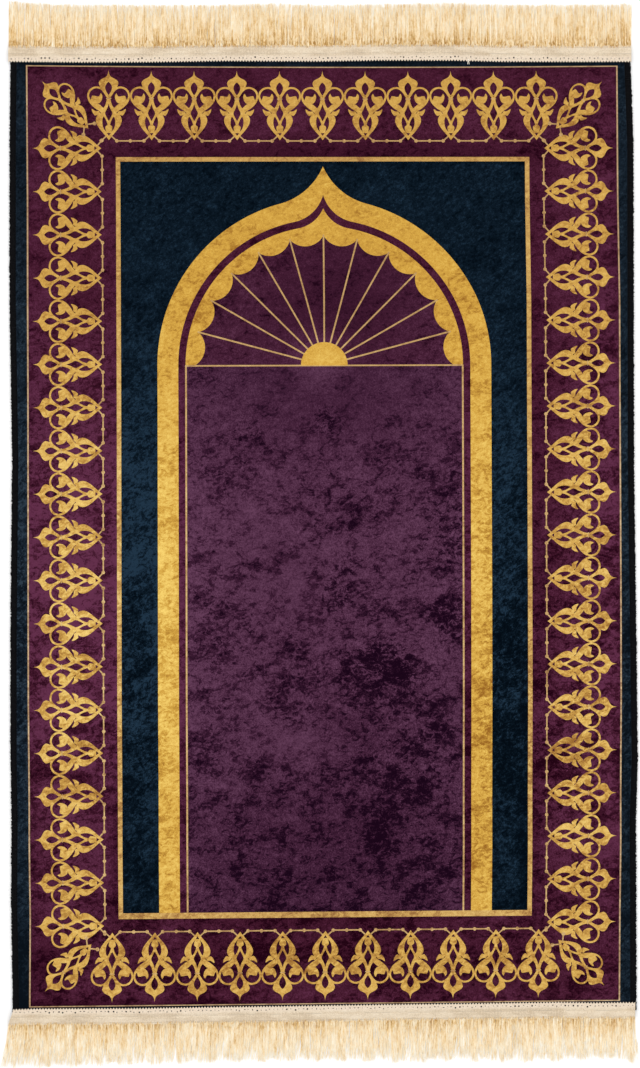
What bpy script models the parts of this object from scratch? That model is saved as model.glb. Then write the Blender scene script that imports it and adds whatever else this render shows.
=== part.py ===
"""Prayer rug of printed velvet, lying flat on a level surface.

X runs across the rug, +Y towards the point of the printed arch and +Z up.
The origin is on the surface, under the middle of the rug.

The pieces are those of the real rug: one panel of velvet, a black overlock
wrapped round each long edge, and a woven tape with a fringe across each end.
"""

import math
import random
from typing import NamedTuple

import bmesh
import bpy

MM = 0.001

# The velvet panel
HALF_WIDTH = 350.0 * MM
HALF_LENGTH = 540.0 * MM
CLOTH_THICKNESS = 3.0 * MM
CLEARANCE = 0.3 * MM

# The overlock: a sleeve of thread round each long edge, where the cloth is
# squeezed to a thin lip
OVERLOCK_WIDTH = 7.0 * MM
OVERLOCK_THREAD = 0.7 * MM
OVERLOCK_BEAD = 1.2 * MM
OVERLOCK_CORNER = 0.9 * MM
PILE_EDGE = HALF_WIDTH - OVERLOCK_WIDTH - CLEARANCE

# The fringe tape, sewn on top of the cloth's ends
TAPE_WIDTH = 16.3 * MM
TAPE_THICKNESS = 1.0 * MM
TAPE_OVERLAP = 9.0 * MM
TAPE_LEVEL_PAST_CLOTH = 2.0 * MM
TAPE_LEVEL_END = TAPE_OVERLAP + TAPE_LEVEL_PAST_CLOTH

# The fringe
STRANDS_PER_END = 150
STRAND_ROOT_SHARE = 0.86  # of the spacing, at the tape
STRAND_TIP_SHARE = 0.62  # of the spacing, at the tip
STRAND_ROOT_HEIGHT = 1.6 * MM
STRAND_TIP_HEIGHT = 1.2 * MM
STRAND_BEND = 22.0 * MM  # from the tape's outer edge to where a strand bends
STRAND_BEND_SHARE = 0.3  # of its lean, reached at the bend
STRAND_LENGTH_SPREAD = 1.6 * MM
LOCK_SIZES = (4, 7, 5, 8, 3, 6)  # strands that lean together, over and over
LOCK_GATHER = 0.9 * MM  # how far the outer strands of a lock lean to its middle

WELD = 0.01 * MM
FLAT_ANGLE = 0.001  # radians
UPRIGHT = (math.radians(90), 0.0, 0.0)  # turns a section's height to +Z


class EdgeRow(NamedTuple):
    """How far the long edges stand outside half the nominal width at y, in mm."""

    y: float
    left: float
    right: float


class EndRow(NamedTuple):
    """How far the tape's inner edge is from the rug's middle at a strand, in mm."""

    strand: int
    inner: float


class FringeRow(NamedTuple):
    """The length of the strands at x, and how far their tips lean to +X, in mm."""

    x: float
    length: float
    lean: float


class End(NamedTuple):
    """One end of the rug: its side in Y, its tape's ends in X, and its tables."""

    name: str
    side: int
    left: float
    right: float
    rows: tuple
    fringe: tuple
    seed: int


EDGE_ROWS = (
    EdgeRow(y=-505, left=-3.5, right=2.1),
    EdgeRow(y=-411, left=-2.0, right=2.3),
    EdgeRow(y=-321, left=-2.4, right=2.1),
    EdgeRow(y=-250, left=-1.2, right=4.4),
    EdgeRow(y=-120, left=-1.3, right=3.2),
    EdgeRow(y=-12, left=-2.4, right=2.1),
    EdgeRow(y=84, left=-3.5, right=1.0),
    EdgeRow(y=129, left=-2.4, right=1.0),
    EdgeRow(y=264, left=-0.1, right=-0.1),
    EdgeRow(y=444, left=-0.1, right=-0.1),
    EdgeRow(y=520, left=-1.5, right=-2.6),
)

TOP_ROWS = (
    EndRow(strand=1, inner=531.5),
    EndRow(strand=32, inner=532.3),
    EndRow(strand=62, inner=531.6),
    EndRow(strand=92, inner=532.4),
    EndRow(strand=122, inner=531.8),
    EndRow(strand=148, inner=532.6),
)

BOTTOM_ROWS = (
    EndRow(strand=1, inner=533.0),
    EndRow(strand=11, inner=531.0),
    EndRow(strand=32, inner=530.5),
    EndRow(strand=53, inner=529.5),
    EndRow(strand=74, inner=527.0),
    EndRow(strand=90, inner=526.0),
    EndRow(strand=106, inner=525.0),
    EndRow(strand=127, inner=525.4),
    EndRow(strand=148, inner=526.5),
)

TOP_FRINGE = (
    FringeRow(x=-352, length=43.0, lean=-0.5),
    FringeRow(x=-300, length=45.0, lean=-0.5),
    FringeRow(x=0, length=45.5, lean=0.0),
    FringeRow(x=310, length=44.5, lean=0.0),
    FringeRow(x=340, length=43.0, lean=-0.5),
    FringeRow(x=350, length=36.0, lean=-1.0),
)

BOTTOM_FRINGE = (
    FringeRow(x=-350, length=45.0, lean=-10.0),
    FringeRow(x=-330, length=46.0, lean=-5.0),
    FringeRow(x=-296, length=46.0, lean=-2.0),
    FringeRow(x=-240, length=41.0, lean=-1.0),
    FringeRow(x=-140, length=40.0, lean=0.0),
    FringeRow(x=45, length=38.0, lean=0.0),
    FringeRow(x=75, length=40.0, lean=0.5),
    FringeRow(x=100, length=45.0, lean=0.0),
    FringeRow(x=150, length=42.0, lean=0.0),
    FringeRow(x=300, length=42.0, lean=1.0),
    FringeRow(x=353, length=42.0, lean=3.0),
)

ENDS = (
    End("top", 1, -352.0, 348.8, TOP_ROWS, TOP_FRINGE, 11),
    End("bottom", -1, -349.0, 353.2, BOTTOM_ROWS, BOTTOM_FRINGE, 23),
)


def clear_scene():
    for thing in list(bpy.data.objects):
        bpy.data.objects.remove(thing)


def make_collection(name):
    collection = bpy.data.collections.new(name)
    bpy.context.scene.collection.children.link(collection)
    return collection


def make_material(name, colour, roughness):
    material = bpy.data.materials.new(name)
    material.use_nodes = True
    shader = material.node_tree.nodes["Principled BSDF"]
    shader.inputs["Base Color"].default_value = (*colour, 1.0)
    shader.inputs["Roughness"].default_value = roughness
    shader.inputs["Metallic"].default_value = 0.0
    return material


def read_table(places, values, place):
    """Straight lines through a table's values, carried on past its ends."""
    last = len(places) - 2
    row = 0
    while row < last and place > places[row + 1]:
        row += 1
    share = (place - places[row]) / (places[row + 1] - places[row])
    return values[row] + (values[row + 1] - values[row]) * share


def edge_x(side, y):
    """The long edge's X at y: side is -1 for the left edge and 1 for the right."""
    places = [row.y * MM for row in EDGE_ROWS]
    outward = [(row.left if side < 0 else row.right) * MM for row in EDGE_ROWS]
    return side * (HALF_WIDTH + read_table(places, outward, y))


def strand_spacing(end):
    return (end.right - end.left) * MM / STRANDS_PER_END


def strand_x(end, strand):
    """The X of a strand's root."""
    return end.left * MM + strand_spacing(end) * (strand + 0.5)


def end_stations(end):
    """The X of each row of the end's table."""
    return [strand_x(end, row.strand) for row in end.rows]


def inner_edge(end, x):
    """How far the tape's inner edge is from the middle of the rug at x."""
    inner = [row.inner * MM for row in end.rows]
    return read_table(end_stations(end), inner, x)


def cloth_end(side, x):
    """The Y of the cloth's own end at x, under its tape."""
    end = ENDS[0] if side > 0 else ENDS[1]
    return side * (inner_edge(end, x) + TAPE_OVERLAP)


def prism_from_outline(collection, name, points, thickness, rotation=(0.0, 0.0, 0.0)):
    """A bmesh of a closed flat outline given thickness about its own plane."""
    curve = bpy.data.curves.new(name, "CURVE")
    curve.dimensions = "2D"
    curve.fill_mode = "BOTH"
    curve.extrude = thickness / 2
    spline = curve.splines.new("POLY")
    spline.points.add(len(points) - 1)
    for target, (across, along) in zip(spline.points, points):
        target.co = (across, along, 0.0, 1.0)
    spline.use_cyclic_u = True
    outline = bpy.data.objects.new(name, curve)
    outline.rotation_euler = rotation
    collection.objects.link(outline)
    bpy.context.view_layer.update()
    depsgraph = bpy.context.evaluated_depsgraph_get()
    flat = bpy.data.meshes.new_from_object(outline.evaluated_get(depsgraph))
    flat.transform(outline.matrix_world)
    prism = bmesh.new()
    prism.from_mesh(flat)
    bpy.data.meshes.remove(flat)
    bpy.data.objects.remove(outline)
    bpy.data.curves.remove(curve)
    bmesh.ops.remove_doubles(prism, verts=prism.verts, dist=WELD)
    bmesh.ops.dissolve_limit(
        prism,
        angle_limit=FLAT_ANGLE,
        verts=prism.verts,
        edges=prism.edges,
    )
    return prism


def cut_across(shape, axis, places, faces=None):
    """Cuts faces, or the whole shape, by planes square to an axis, in place."""
    normal = [0.0, 0.0, 0.0]
    normal[axis] = 1.0
    for place in places:
        point = [0.0, 0.0, 0.0]
        point[axis] = place
        chosen = [f for f in shape.faces if faces is None or faces(f)]
        geometry = set(chosen)
        for face in chosen:
            geometry.update(face.edges)
            geometry.update(face.verts)
        bmesh.ops.bisect_plane(
            shape, geom=list(geometry), dist=WELD, plane_co=point, plane_no=normal
        )


def finish_piece(shape, collection, name, material):
    bmesh.ops.recalc_face_normals(shape, faces=shape.faces)
    mesh = bpy.data.meshes.new(name)
    shape.to_mesh(mesh)
    shape.free()
    mesh.materials.append(material)
    piece = bpy.data.objects.new(name, mesh)
    collection.objects.link(piece)
    return piece


def lay_along(shape):
    """Moves a straight length of cloth or overlock to the rug's uneven outline."""
    for vertex in shape.verts:
        side_x = 1 if vertex.co.x > 0 else -1
        side_y = 1 if vertex.co.y > 0 else -1
        vertex.co.y *= abs(cloth_end(side_y, vertex.co.x)) / HALF_LENGTH
        shift = edge_x(side_x, vertex.co.y) - side_x * HALF_WIDTH
        vertex.co.x += shift * min(abs(vertex.co.x) / PILE_EDGE, 1.0)


def cloth_section():
    """The panel cut across: full pile, with a thin lip inside each overlock."""
    lip_edge = HALF_WIDTH - OVERLOCK_BEAD - CLEARANCE
    lip_low = OVERLOCK_THREAD + CLEARANCE
    lip_high = CLOTH_THICKNESS - OVERLOCK_THREAD - CLEARANCE
    right_half = (
        (PILE_EDGE, 0.0),
        (PILE_EDGE, lip_low),
        (lip_edge, lip_low),
        (lip_edge, lip_high),
        (PILE_EDGE, lip_high),
        (PILE_EDGE, CLOTH_THICKNESS),
    )
    left_half = tuple((-across, height) for across, height in reversed(right_half))
    return right_half + left_half


def overlock_section(side):
    """The overlock cut across: a sleeve open towards the cloth, with a round back."""
    inner = HALF_WIDTH - OVERLOCK_WIDTH
    back = HALF_WIDTH - OVERLOCK_BEAD
    shoulder = HALF_WIDTH - OVERLOCK_CORNER
    top = CLOTH_THICKNESS
    points = (
        (inner, 0.0),
        (shoulder, 0.0),
        (HALF_WIDTH, OVERLOCK_CORNER),
        (HALF_WIDTH, top - OVERLOCK_CORNER),
        (shoulder, top),
        (inner, top),
        (inner, top - OVERLOCK_THREAD),
        (back, top - OVERLOCK_THREAD),
        (back, OVERLOCK_THREAD),
        (inner, OVERLOCK_THREAD),
    )
    return tuple((side * across, height) for across, height in points)


def make_panel(collection, material):
    name = "velvet_rug"
    section = cloth_section()
    panel = prism_from_outline(collection, name, section, 2 * HALF_LENGTH, UPRIGHT)
    for end in ENDS:
        cut_across(panel, 0, end_stations(end)[1:-1])
    cut_across(panel, 1, [row.y * MM for row in EDGE_ROWS])
    lay_along(panel)
    return finish_piece(panel, collection, name, material)


def make_overlock(collection, side, name, material):
    section = overlock_section(side)
    sleeve = prism_from_outline(collection, name, section, 2 * HALF_LENGTH, UPRIGHT)
    cut_across(sleeve, 1, [row.y * MM for row in EDGE_ROWS])
    lay_along(sleeve)
    return finish_piece(sleeve, collection, name, material)


def lock_leans():
    """How far each strand leans towards the middle of its lock, one end's worth."""
    leans = []
    while len(leans) < STRANDS_PER_END:
        for size in LOCK_SIZES:
            middle = (size - 1) / 2
            leans += [LOCK_GATHER * (middle - place) / middle for place in range(size)]
    return leans[:STRANDS_PER_END]


def comb_outline(end):
    """The tape and its strands laid straight: x along the tape, y out from its inner edge."""
    chance = random.Random(end.seed)
    places = [row.x * MM for row in end.fringe]
    lengths = [row.length * MM for row in end.fringe]
    leans = [row.lean * MM for row in end.fringe]
    root_half = strand_spacing(end) * STRAND_ROOT_SHARE / 2
    tip_half = strand_spacing(end) * STRAND_TIP_SHARE / 2
    outline = [(end.right * MM, 0.0), (end.left * MM, 0.0)]
    for strand, gather in enumerate(lock_leans()):
        root = strand_x(end, strand)
        lean = gather + read_table(places, leans, root)
        length = read_table(places, lengths, root)
        length += chance.uniform(-STRAND_LENGTH_SPREAD, STRAND_LENGTH_SPREAD)
        bend_half = (root_half + tip_half) / 2
        bend = root + lean * STRAND_BEND_SHARE
        tip = root + lean
        outline += [
            (root - root_half, TAPE_WIDTH),
            (bend - bend_half, TAPE_WIDTH + STRAND_BEND),
            (tip - tip_half, TAPE_WIDTH + length),
            (tip + tip_half, TAPE_WIDTH + length),
            (bend + bend_half, TAPE_WIDTH + STRAND_BEND),
            (root + root_half, TAPE_WIDTH),
        ]
    return outline


def fringe_heights(out):
    """Underside and top of the tape or its strands, out from the tape's inner edge."""
    level = CLOTH_THICKNESS + CLEARANCE
    places = (0.0, TAPE_LEVEL_END, TAPE_WIDTH, TAPE_WIDTH + 2 * STRAND_BEND)
    tape_top = level + TAPE_THICKNESS
    low = read_table(places, (level, level, 0.0, 0.0), out)
    high = read_table(
        places, (tape_top, tape_top, STRAND_ROOT_HEIGHT, STRAND_TIP_HEIGHT), out
    )
    return low, high


def make_fringe(collection, end, material):
    name = "fringe_" + end.name
    comb = prism_from_outline(collection, name, comb_outline(end), TAPE_THICKNESS)
    cut_across(comb, 1, (TAPE_LEVEL_END, TAPE_WIDTH, TAPE_WIDTH + STRAND_BEND))
    cut_across(
        comb,
        0,
        end_stations(end)[1:-1],
        faces=lambda face: face.calc_center_median().y < TAPE_WIDTH - WELD,
    )
    for vertex in comb.verts:
        low, high = fringe_heights(vertex.co.y)
        vertex.co.z = high if vertex.co.z > 0 else low
        vertex.co.y = end.side * (inner_edge(end, vertex.co.x) + vertex.co.y)
    return finish_piece(comb, collection, name, material)


def build_rug():
    clear_scene()
    rug = make_collection("prayer_rug")
    velvet = make_material("printed_velvet", (0.055, 0.016, 0.035), 0.75)
    thread = make_material("overlock_thread", (0.006, 0.006, 0.007), 0.85)
    yarn = make_material("fringe_yarn", (0.85, 0.63, 0.38), 0.7)
    make_panel(rug, velvet)
    make_overlock(rug, -1, "overlock_left", thread)
    make_overlock(rug, 1, "overlock_right", thread)
    for end in ENDS:
        make_fringe(rug, end, yarn)


build_rug()
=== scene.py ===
"""Prayer rug of printed crushed velvet, lying flat: the visual model on its CAD frame.

X runs across the rug, +Y towards the point of the printed arch and +Z up. Sizes
in the tables are in millimetres, and each piece is turned into metres when it
is finished. The print is drawn flat and then laid with the cloth.
"""

import math
from collections import namedtuple

import bmesh
import bpy
import numpy as np
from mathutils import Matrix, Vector
from mathutils.geometry import delaunay_2d_cdt


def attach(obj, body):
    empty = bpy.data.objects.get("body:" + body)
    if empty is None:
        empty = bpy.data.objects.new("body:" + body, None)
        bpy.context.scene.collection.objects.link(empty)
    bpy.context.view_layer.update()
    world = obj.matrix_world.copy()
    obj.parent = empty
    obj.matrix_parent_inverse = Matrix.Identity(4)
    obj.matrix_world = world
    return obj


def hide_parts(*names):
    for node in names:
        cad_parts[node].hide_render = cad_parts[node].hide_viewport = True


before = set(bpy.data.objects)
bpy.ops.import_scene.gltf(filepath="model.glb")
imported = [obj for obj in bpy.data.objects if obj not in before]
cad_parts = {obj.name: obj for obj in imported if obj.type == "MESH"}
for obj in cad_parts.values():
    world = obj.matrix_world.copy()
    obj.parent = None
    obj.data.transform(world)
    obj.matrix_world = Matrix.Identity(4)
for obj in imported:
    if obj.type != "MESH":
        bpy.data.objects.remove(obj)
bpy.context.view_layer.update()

bl_info = {
    "name": "Velvet Prayer Rug",
    "version": (1, 0, 0),
    "blender": (4, 5, 0),
    "location": "View3D > Sidebar > Rug",
    "description": "Builds a printed velvet prayer rug with its overlock and fringes",
    "category": "Object",
}

MM = 0.001

# The cloth, as in the CAD part
HALF_WIDTH = 350.0
HALF_LENGTH = 540.0
PILE_TOP = 3.0
BACKING_TOP = 1.7
PILE_FOOT = 1.72
PILE_EDGE = 342.7
LIP_EDGE = 347.6
LIP_FOOT = 1.25
BACKING_GRID = (60, 90)

# The fringe tape, which laps the cloth and slopes down to the fringe past it
TAPE_OVERLAP = 9.0
TAPE_WIDTH = 18.3
TAPE_FOOT = 3.3
TAPE_TOP = 4.3
TAPE_LEVEL_END = 11.0
TAPE_LIP = 1.6
FRINGE_FROM = 16.3  # where the lengths in the fringe tables start

# How far the long edges stand outside half the width: y, left, right
EDGE_ROWS = (
    (-505, -2.3, 4.8), (-411, -0.8, 4.7), (-321, -1.3, 4.2), (-250, -0.1, 6.4),
    (-120, -0.1, 4.8), (-12, -1, 3.3), (84, -2, 2.2), (129, -1.3, 2.1),
    (264, 0.9, 1.8), (444, 0.8, 1.4), (520, 0, -1.4),
)

# The inner edge of each tape: x, distance from the rug's middle
TOP_ROWS = (
    (-350, 533), (-271, 532.2), (-190, 532.5), (-110, 533.8), (0, 533.4), (66, 534.5),
    (150, 534.4), (201, 533.1), (290, 532.7), (350, 533),
)
BOTTOM_ROWS = (
    (-350, 534), (-322, 533), (-204, 532.5), (-103, 530.8), (-60, 530.3),
    (66, 528.3), (167, 527.1), (268, 525.6), (302, 526.2), (350, 525.9),
)

# The fringe: x, length past the tape, lean of the tips to +X
TOP_FRINGE = (
    (-352, 52.5, 1.4), (-335, 51.3, 0.6), (-300, 49.3, 0), (-240, 49, 0),
    (-187, 48.4, 0), (-120, 47.2, 0), (-53, 49.2, 0), (15, 47.3, 0),
    (82, 47.5, 0), (150, 49, 0), (217, 48.2, 0), (285, 48.6, 0),
    (325, 48.6, 0), (343, 49.5, -0.3), (350, 47.5, -0.6),
)
BOTTOM_FRINGE = (
    (-350, 48.5, -9.5), (-330, 50, -5.5), (-296, 49.5, -2), (-240, 47.3, -1),
    (-140, 46, 0), (-50, 45.4, 0), (15, 46.2, 0), (82, 48, 0.3),
    (100, 49.5, 0), (150, 47, 0), (217, 50, 0.4), (285, 48.5, 1),
    (318, 46.5, 1.2), (329, 46, 1.5), (343, 52, 1.8), (353, 51, 2),
)

# Each end: its side in Y, the tape's ends in X, its tables, how far its left corner
# is pulled out, and how tousled its fringe is. Its yarn: how dark the painted shadow
# in dashes at the roots is, how light the yarn is, and how much lighter it is painted
# towards the tips, away from the painted shade at the roots.
End = namedtuple("End", "side left right edge fringe flare tousled yarn")
ENDS = {
    "top": End(
        1, -352.0, 348.8, TOP_ROWS, TOP_FRINGE, 0.0, 0.55, (0.42, -0.06, 0.28)
    ),
    "bottom": End(
        -1, -346.2, 353.2, BOTTOM_ROWS, BOTTOM_FRINGE, 0.36, 1.6, (0.2, 0.01, 0.36)
    ),
}
# The loose thread's yarn, in the same terms: no painted root shadow, painted lighter
# towards its tip
LOOSE_YARN = (0.0, 0.0, 0.22)
FLARE_REACH = 25.0

# The tape's rows out from its inner edge, and its line of holes: size in columns by
# rows, and how common each size is
TAPE_ROWS = (
    0, 0.5, 1.0, 1.7, 2.5, 3.3, 4.1, 5.0, 5.8, 6.6, 7.4, 8.2, 9.4, 10.8, 12.2, 13.6,
    15.0, 16.2, 17.3, 18.3,
)
LOOP_COLUMNS = 4
LOOP_DEPTH = 1.9
LOOP_REACH = 3.3
LOOP_END = 5.0
EDGE_BEND = 0.3
HOLE_PITCH = 4.75
HOLE_SIZES = ((1, 1), (1, 2), (2, 1), (2, 2))
HOLE_SHARES = (0.4, 0.22, 0.24, 0.14)
HOLE_ROW = 4
# Where its stitches sink it: distance out, depth. Where it has darker lines:
# distance out, half their width, how dark they are.
TAPE_STITCHES = ((16.2, 0.25), (8.2, 0.3), (6.6, 0.2))
TAPE_LINES = ((16.2, 0.8, 0.35), (8.6, 0.9, 0.45), (7.0, 0.5, 0.25))

# The overlock: its gap to the cloth's ends, where its loops start and bend, in from
# the edge of the pile, and the thread's radius as a share of the loops' pitch
OVERLOCK_GAP = 0.6
LOOP_START = 0.4
LOOP_BEND = 3.5
THREAD_RADIUS = 0.56

# The fringe's filaments: how far they are tucked under the tape, how flat they are,
# how high they lie over the tape, and how low over the floor
STRAND_TUCK = 1.2
STRAND_FLATNESS = 0.55
STRAND_LIFT = 0.12
STRAND_FLOOR = 0.35
# Its two layers: name, lowest and highest filaments, how thick they are, and how
# light they are, where the lower layer is painted darker as painted shade under the upper
LAYERS = (("under", 0.35, 0.8, 1.8, -0.08), ("over", 0.8, 1.3, 1.0, 0.0))

# How the print lies on the cloth: y, shift of its axis, stretch across, rise to +X
LAY_ROWS = (
    (-527, 4.3, 0.997, 0.0112), (-427, 4.8, 0.997, 0.0085), (-350, 4.8, 1.000, 0.0078),
    (-298, 4.7, 1.000, 0.0073), (-186, 4.5, 1.0024, 0.0063), (-73, 4.3, 1.0024, 0.0053),
    (152, 3.6, 1.001, 0.0033), (264, 3.2, 1.001, 0.0023), (377, 2.1, 0.998, 0.0013),
    (527, 1.1, 0.998, -0.0008),
)
TOP_LINE_BOW = 1.6  # the print's top line hangs this much lower in its middle
BOW_START = 423.0

NAVY, PURPLE, GOLD = range(3)
# The usual colour of each material, 0 to 255 on screen, which its settings may change
NAVY_COLOUR = (12, 24, 35)
PURPLE_COLOUR = (62, 22, 40)
GOLD_COLOUR = (203, 157, 66)
OVERLOCK_COLOUR = (20, 20, 23)
TAPE_COLOUR = (221, 202, 175)
YARN_COLOUR = (245, 222, 181)

# Finish zones within a colour
PANEL, MARGIN = 0.0, 1.0
BORDER, FIELD, FAN = 0.0, 1.0, 0.5
SOLID, MOTIF, BAND, LINE, OUTER_LINE = 0.0, 0.18, 0.38, 0.65, 1.0

# The print's frame of lines
OUTER_LINE_X = {-1: 333.2, 1: 332.1}
OUTER_LINE_TOP = 526.4
OUTER_LINE_BOTTOM = -526.9
OUTER_LINE_WIDTH = 1.65
OUTER_LINE_THINNING = 0.72  # along the two ends
BAND_X = {-1: 230.95, 1: 230.25}
BAND_TOP = 423.0
BAND_BOTTOM = -426.7
BAND_WIDTH = 5.0
BAND_FOOT_WIDTH = 6.5

# The arches: radius, height of the centre, height of the point over it, and how
# far round from the top the ogee leaves the circle, in degrees
ARCH_OUTER = (187.6, 191.8, 223.3, 15.0)
ARCH_STRIPE = (164.1, 191.7, 191.3, 11.5)
ARCH_INNER = (155.9, 191.9, 175.9, 10.5)
ARCH_LINE_X = 155.5
ARCH_LINE_WIDTH = 1.9

# The fan
FAN_Y = 191.0
FAN_LINE_WIDTH = 1.7
SCALLOPS = 12
CUSP_RADIUS = 146.3
SCALLOP_RADIUS = 135.3
RAY_WIDTH = 1.8
SUN_RADIUS = 26.3

# The border's motif, charted: distance across its axis and inward from its
# spike's tip. A third value marks a corner.
C = True
AXIS_GAP = 0.05  # the least width of half a spike
LONGEST_SIDE = 15.0
BUD = (
    (0, 0, C), (0.3, 2.4), (0.9, 4.8), (2.2, 6.9), (4.6, 8.6), (8.8, 10.8),
    (11, 13.8), (10.3, 17.2), (8.5, 20.5, C), (0, 29, C),
)
BUD_HOLE = (
    (0, 13.2, C), (2.6, 15.8), (3.9, 19.2), (3, 23.2), (1.2, 26.4), (0, 28, C),
)
RING = (
    (0, 30, C), (1.9, 26.5), (4.7, 22.3), (8.5, 19.3), (13.3, 18.3), (18.8, 19.7),
    (22.6, 23.2), (24.1, 28.5), (23.2, 33.5), (20.6, 37.8), (17.2, 41.2),
    (13.6, 43.9), (11.6, 45, C), (9, 47.5), (6, 50, C), (4.1, 47.9), (1.9, 43.2),
    (0, 37.5, C),
)
RING_HOLE = (
    (20.4, 33.4, C), (21.7, 30.5), (21.9, 27.5), (20, 23.5), (16.8, 21.1),
    (13, 20.4), (9.5, 21.5), (6.3, 24.4), (3.6, 28.4), (1.9, 31, C),
    (3.5, 38.2), (6, 42.3, C), (8.6, 40), (10.6, 38.2), (12.6, 37.5, C),
    (10, 36.5), (8, 33.8), (7.1, 30.6), (7.3, 28), (8.8, 25.8, C),
    (9.7, 27.6), (10.5, 29.3, C), (13, 29.5), (15.8, 28.8), (18.6, 28.7, C),
    (19.3, 30.5),
)
LEAFLET = (
    (19.3, 43.2, C), (18.6, 46.4), (17, 49.2), (15.5, 50.8, C), (13.3, 50.3),
    (11.4, 49.5), (9.5, 48.3, C), (11.4, 45.6, C), (13.3, 45.9), (15.8, 45.3),
    (17.7, 44),
)
BODY = (
    (0, 44, C), (12, 49.5, C), (14.2, 53.3), (14.6, 56.5), (13.6, 60.3),
    (11.4, 64), (8.8, 67.5), (5.7, 71), (2.5, 74.8), (0, 78.1, C),
)
LENS_HOLE = ((0, 37.5, C), (1.9, 43.2), (4.1, 47.9), (2.3, 52.6), (0, 56.8, C))
LEAF_HOLE = (
    (5.7, 51.7, C), (7, 54.5), (7.3, 58.5), (6.9, 62), (5.4, 65.8),
    (2.6, 68.9, C), (3.7, 66.2), (3.9, 63.2, C), (2.5, 61.8), (1.6, 61.4, C),
    (1.5, 60.4), (2.5, 57.2), (4.1, 53.9),
)
EYE_HOLE = ((2.2, 70.2, C), (0, 73.3, C), (-2.2, 70.2, C))
CROSS_BAR = ((-2.9, 31.2, C), (2.9, 31.2, C), (2.9, 32.4, C), (-2.9, 32.4, C))
# Its shapes in the order they are painted: colour, zone, outline, the part they are
# stretched with, and whether the outline is half a shape, one of a pair, or whole
HALF, PAIR, WHOLE = range(3)
MOTIF_SHAPES = (
    (GOLD, MOTIF, BUD, "bud", HALF),
    (GOLD, MOTIF, RING, "ring", PAIR),
    (GOLD, MOTIF, BODY, "body", HALF),
    (GOLD, MOTIF, LEAFLET, "body", PAIR),
    (PURPLE, BORDER, BUD_HOLE, "bud", HALF),
    (PURPLE, BORDER, RING_HOLE, "ring", PAIR),
    (PURPLE, BORDER, LENS_HOLE, "body", HALF),
    (PURPLE, BORDER, LEAF_HOLE, "body", PAIR),
    (PURPLE, BORDER, EYE_HOLE, "body", WHOLE),
    (GOLD, LINE, CROSS_BAR, "ring", WHOLE),
)
CHAIN_DEPTH = 78.9
CHAIN_START = (3.2, 73.9)
CHAIN_KNEE = 8.8
CHAIN_WIDTH = 1.5
CHAIN_DOT = 2.0

# Rows of motifs: count, first and last place along the row, and where the tips are
ROW_TOP = (11, -241.0, 241.0, 522.5)
ROW_BOTTOM = (11, -240.5, 240.5, -523.2)
COLUMN = (19, 435.4, -437.4, 327.75)
DRAWN_PITCH = 48.2

# The motif at each corner: how far in its tip is, how it is stretched, and the two
# short links of chain beside it, from the corner of the outer line
CORNER_TIP = 16.7
CORNER_ALONG = 0.95
CORNER_ACROSS = {"bud": 0.96, "ring": 0.82, "body": 0.86}
CORNER_LINKS = (((67, 64.5), (76, 63.5)), ((64.5, 67), (63.5, 76)))
CORNER_DOT = 2.2

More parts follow.
